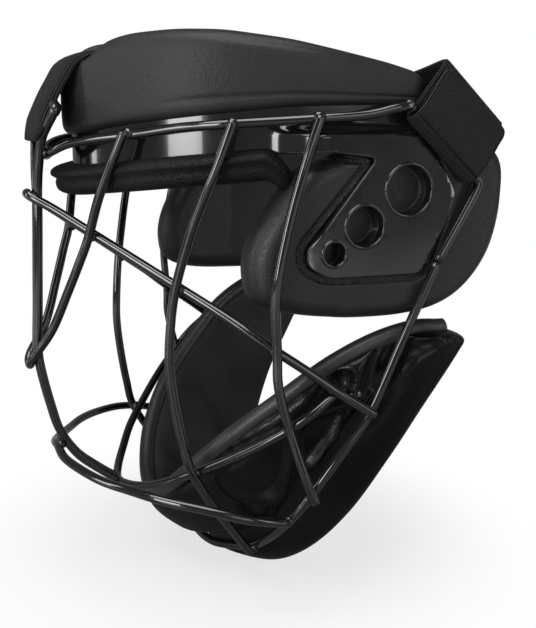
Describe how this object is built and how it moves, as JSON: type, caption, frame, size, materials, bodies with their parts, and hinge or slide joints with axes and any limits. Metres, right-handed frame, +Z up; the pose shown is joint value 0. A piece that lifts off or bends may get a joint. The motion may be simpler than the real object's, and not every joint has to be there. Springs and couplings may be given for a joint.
{
  "type": "hockey face cage",
  "caption": "Welded steel wire face cage with a padded brow shell, temple pads, a jaw pad and an elastic harness, worn over the face in field hockey.",
  "frame": {"origin": "on the flat underside of the jaw pad, in the middle plane, where the part rests", "axes": "+X towards the wearer's left, +Y towards the back of the head, +Z up"},
  "size_m": [0.1854, 0.1959, 0.2477],
  "materials": {
    "cage_wire": "gloss black powder coat",
    "forehead_cover": "satin black synthetic leather over moulded foam",
    "shell": "high gloss black",
    "liner_foam": "matte closed-cell foam",
    "temple_foam": "satin moulded foam",
    "jaw_cover": "soft gloss vinyl",
    "jaw_edge": "satin vinyl, rolled edge",
    "jaw_lining": "brushed lining",
    "elastic": "ribbed woven elastic",
    "hook_tape": "hook tape"
  },
  "bodies": {
    "cage": {"upper_frame_wire": "cage_wire", "lower_frame_wire": "cage_wire", "nose_wire": "cage_wire", "cheek_bar_left": "cage_wire", "cheek_bar_right": "cage_wire", "temple_bar_left": "cage_wire", "temple_bar_right": "cage_wire", "guard_bar": "cage_wire", "mouth_bar": "cage_wire", "chin_bar": "cage_wire", "centre_bar": "cage_wire", "forehead_pad": "forehead_cover", "brow_shell": "shell", "brow_liner": "liner_foam", "temple_pad_left": "temple_foam", "temple_pad_right": "temple_foam", "jaw_pad": "jaw_cover", "jaw_pad_roll": "jaw_edge", "jaw_liner": "jaw_lining", "front_strap": "elastic", "back_strap": "elastic"},
    "strap_end_left": {"strap_end_left": "elastic", "hook_patch_left": "hook_tape"},
    "strap_end_right": {"strap_end_right": "elastic", "hook_patch_right": "hook_tape"}
  },
  "joints": [
    {"name": "strap_peel_left", "type": "hinge", "parent": "cage", "child": "strap_end_left", "pos_m": [0.0905, 0.0635, 0.2025], "axis": [0, 0.7413, -0.6712], "range_deg": [0, 110]},
    {"name": "strap_peel_right", "type": "hinge", "parent": "cage", "child": "strap_end_right", "pos_m": [-0.0905, 0.0635, 0.2025], "axis": [0, -0.7413, 0.6712], "range_deg": [0, 110]}
  ]
}
